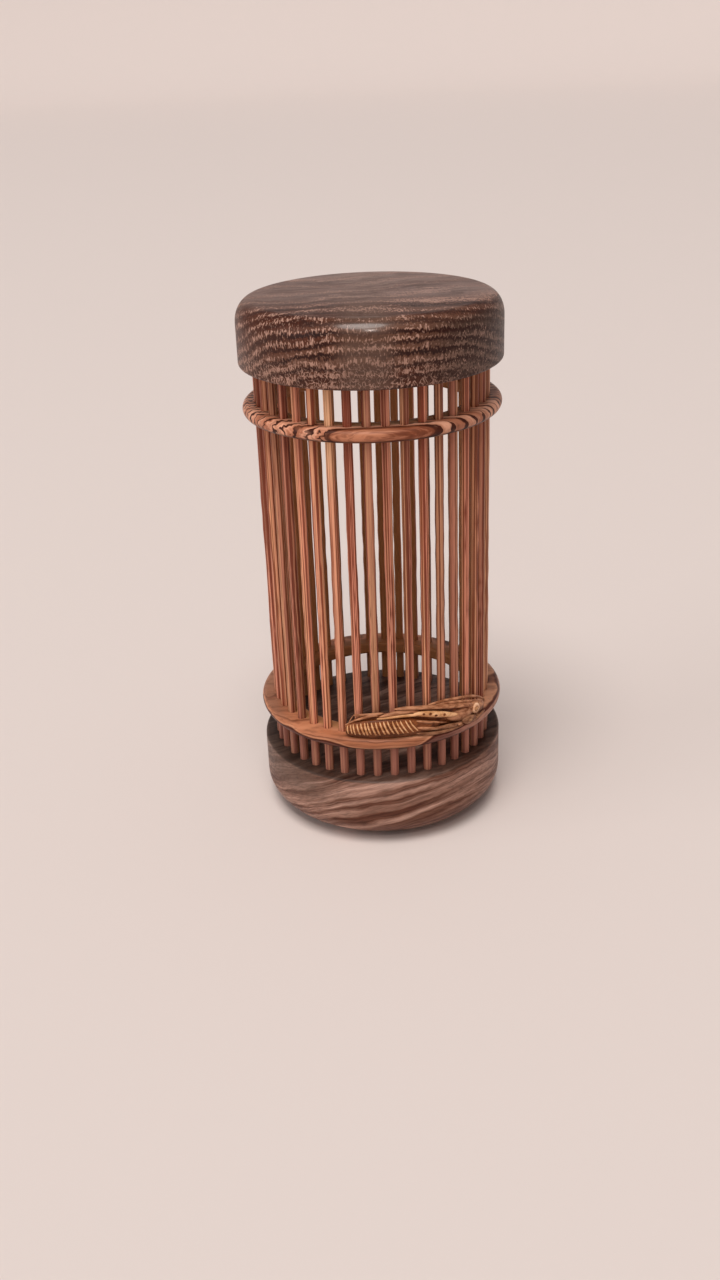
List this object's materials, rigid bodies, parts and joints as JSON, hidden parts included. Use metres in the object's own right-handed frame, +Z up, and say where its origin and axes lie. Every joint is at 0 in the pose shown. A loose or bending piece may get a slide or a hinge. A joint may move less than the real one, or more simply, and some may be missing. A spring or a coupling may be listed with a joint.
{
  "type": "cricket cage",
  "caption": "Round wooden cricket cage: upright bars between a turned base and a lift-off lid, tied by round-nosed rings, with a carved cricket on the lower ring.",
  "frame": {"origin": "centre of the base's underside", "axes": "+Z up along the cage's axis, -Y towards the front, where the carved cricket's wing is"},
  "size_m": [0.0592, 0.0592, 0.1251],
  "materials": {
    "dark_wood": "satin, oiled dark brown hardwood with feathery tan grain",
    "collar_wood": "plain sanded dark brown hardwood",
    "ring_wood": "satin orange-brown hardwood with dark growth lines",
    "bar_wood": "satin red-brown split hardwood with straight fibres",
    "carving_wood": "hand-carved yellow-brown hardwood, darkened in the cuts"
  },
  "bodies": {
    "cage": {"base": "dark_wood", "lower_ring": "ring_wood", "upper_ring": "ring_wood", "top_collar": "collar_wood", "carved_cricket": "carving_wood", "bar_01": "bar_wood", "bar_02": "bar_wood", "bar_03": "bar_wood", "bar_04": "bar_wood", "bar_05": "bar_wood", "bar_06": "bar_wood", "bar_07": "bar_wood", "bar_08": "bar_wood", "bar_09": "bar_wood", "bar_10": "bar_wood", "bar_11": "bar_wood", "bar_12": "bar_wood", "bar_13": "bar_wood", "bar_14": "bar_wood", "bar_15": "bar_wood", "bar_16": "bar_wood", "bar_17": "bar_wood", "bar_18": "bar_wood", "bar_19": "bar_wood", "bar_20": "bar_wood", "bar_21": "bar_wood", "bar_22": "bar_wood", "bar_23": "bar_wood", "bar_24": "bar_wood", "bar_25": "bar_wood", "bar_26": "bar_wood", "bar_27": "bar_wood", "bar_28": "bar_wood", "bar_29": "bar_wood", "bar_30": "bar_wood", "bar_31": "bar_wood", "bar_32": "bar_wood", "bar_33": "bar_wood", "bar_34": "bar_wood", "bar_35": "bar_wood", "bar_36": "bar_wood", "bar_37": "bar_wood", "bar_38": "bar_wood", "bar_39": "bar_wood", "bar_40": "bar_wood"},
    "lid": {"lid": "dark_wood"}
  },
  "joints": [
    {"name": "lid_lift", "type": "slide", "parent": "cage", "child": "lid", "axis": [0, 0, 1], "range_m": [0, 0.04]}
  ]
}
